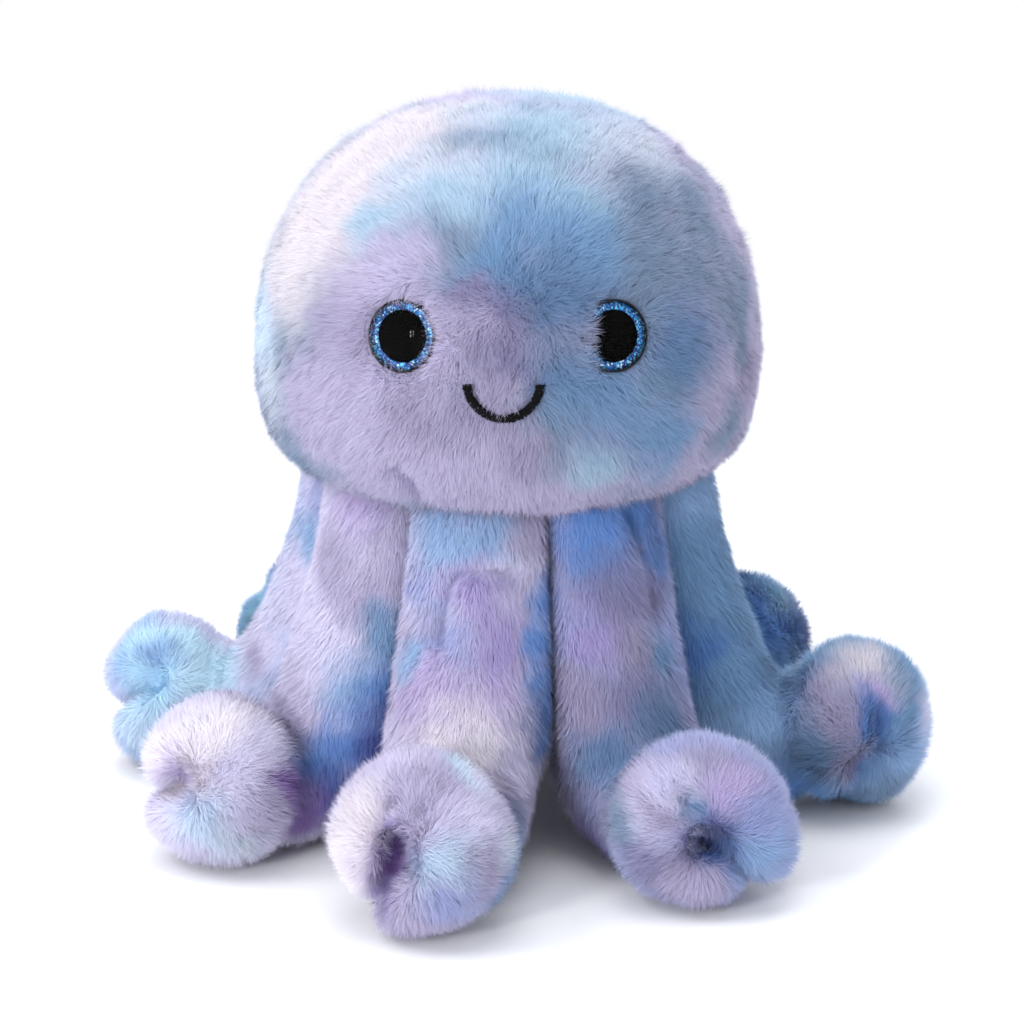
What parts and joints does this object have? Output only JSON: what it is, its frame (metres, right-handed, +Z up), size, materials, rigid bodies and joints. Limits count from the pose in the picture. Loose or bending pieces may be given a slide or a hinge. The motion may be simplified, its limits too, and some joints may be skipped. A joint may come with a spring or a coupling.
{
  "type": "plush octopus toy",
  "caption": "Soft stuffed octopus with a ball head, glitter eyes, a stitched smile and tentacles with curled tips that lift at the head seam.",
  "frame": {"origin": "on the ground, under the middle of the whole toy's footprint", "axes": "+Z up, the face looks along -Y, +X to the right of someone who looks at the face"},
  "size_m": [0.2704, 0.2742, 0.228],
  "materials": {
    "fur_head": "long-pile faux fur, tie-dyed lavender, pink and light blue",
    "fur_tentacles": "long-pile faux fur, tie-dyed lavender, blue and pink",
    "fur_trunk": "long-pile faux fur, tie-dyed blue and lavender",
    "panel_cloth": "short-pile plush, matte",
    "black_thread": "satin-stitched rayon thread",
    "black_rim": "moulded black plastic",
    "glitter_film": "blue glitter film",
    "black_pupil": "polished black",
    "clear_dome": "clear polished acrylic",
    "white_washer": "moulded plastic lock washer"
  },
  "bodies": {
    "body": {"head": "fur_head", "trunk": "fur_trunk", "base_panel": "panel_cloth", "smile_stitching": "black_thread", "eye_left_back": "black_rim", "eye_left_glitter": "glitter_film", "eye_left_pupil": "black_pupil", "eye_left_dome": "clear_dome", "eye_left_washer": "white_washer", "eye_right_back": "black_rim", "eye_right_glitter": "glitter_film", "eye_right_pupil": "black_pupil", "eye_right_dome": "clear_dome", "eye_right_washer": "white_washer"},
    "arm_front": {"tentacle_front": "fur_tentacles"},
    "arm_front_right": {"tentacle_front_right": "fur_tentacles"},
    "arm_right": {"tentacle_right": "fur_tentacles"},
    "arm_back_right": {"tentacle_back_right": "fur_tentacles"},
    "arm_back": {"tentacle_back": "fur_tentacles"},
    "arm_back_left": {"tentacle_back_left": "fur_tentacles"},
    "arm_left": {"tentacle_left": "fur_tentacles"},
    "arm_front_left": {"tentacle_front_left": "fur_tentacles"}
  },
  "joints": [
    {"name": "front_lift", "type": "hinge", "parent": "body", "child": "arm_front", "pos_m": [-0.01084, -0.06252, 0.11612], "axis": [-0.9877, 0.1564, 0], "range_deg": [0, 45], "stiffness_Nm_per_rad": 1.2},
    {"name": "front_right_lift", "type": "hinge", "parent": "body", "child": "arm_front_right", "pos_m": [0.0386, -0.05065, 0.11612], "axis": [-0.809, -0.5878, 0], "range_deg": [0, 45], "stiffness_Nm_per_rad": 1.2},
    {"name": "right_lift", "type": "hinge", "parent": "body", "child": "arm_right", "pos_m": [0.06517, -0.00729, 0.11612], "axis": [-0.1564, -0.9877, 0], "range_deg": [0, 45], "stiffness_Nm_per_rad": 1.2},
    {"name": "back_right_lift", "type": "hinge", "parent": "body", "child": "arm_back_right", "pos_m": [0.0533, 0.04216, 0.11612], "axis": [0.5878, -0.809, 0], "range_deg": [0, 45], "stiffness_Nm_per_rad": 1.2},
    {"name": "back_lift", "type": "hinge", "parent": "body", "child": "arm_back", "pos_m": [0.00995, 0.06873, 0.11612], "axis": [0.9877, -0.1564, 0], "range_deg": [0, 45], "stiffness_Nm_per_rad": 1.2},
    {"name": "back_left_lift", "type": "hinge", "parent": "body", "child": "arm_back_left", "pos_m": [-0.0395, 0.05686, 0.11612], "axis": [0.809, 0.5878, 0], "range_deg": [0, 45], "stiffness_Nm_per_rad": 1.2},
    {"name": "left_lift", "type": "hinge", "parent": "body", "child": "arm_left", "pos_m": [-0.06607, 0.0135, 0.11612], "axis": [0.1564, 0.9877, 0], "range_deg": [0, 45], "stiffness_Nm_per_rad": 1.2},
    {"name": "front_left_lift", "type": "hinge", "parent": "body", "child": "arm_front_left", "pos_m": [-0.0542, -0.03595, 0.11612], "axis": [-0.5878, 0.809, 0], "range_deg": [0, 45], "stiffness_Nm_per_rad": 1.2}
  ]
}
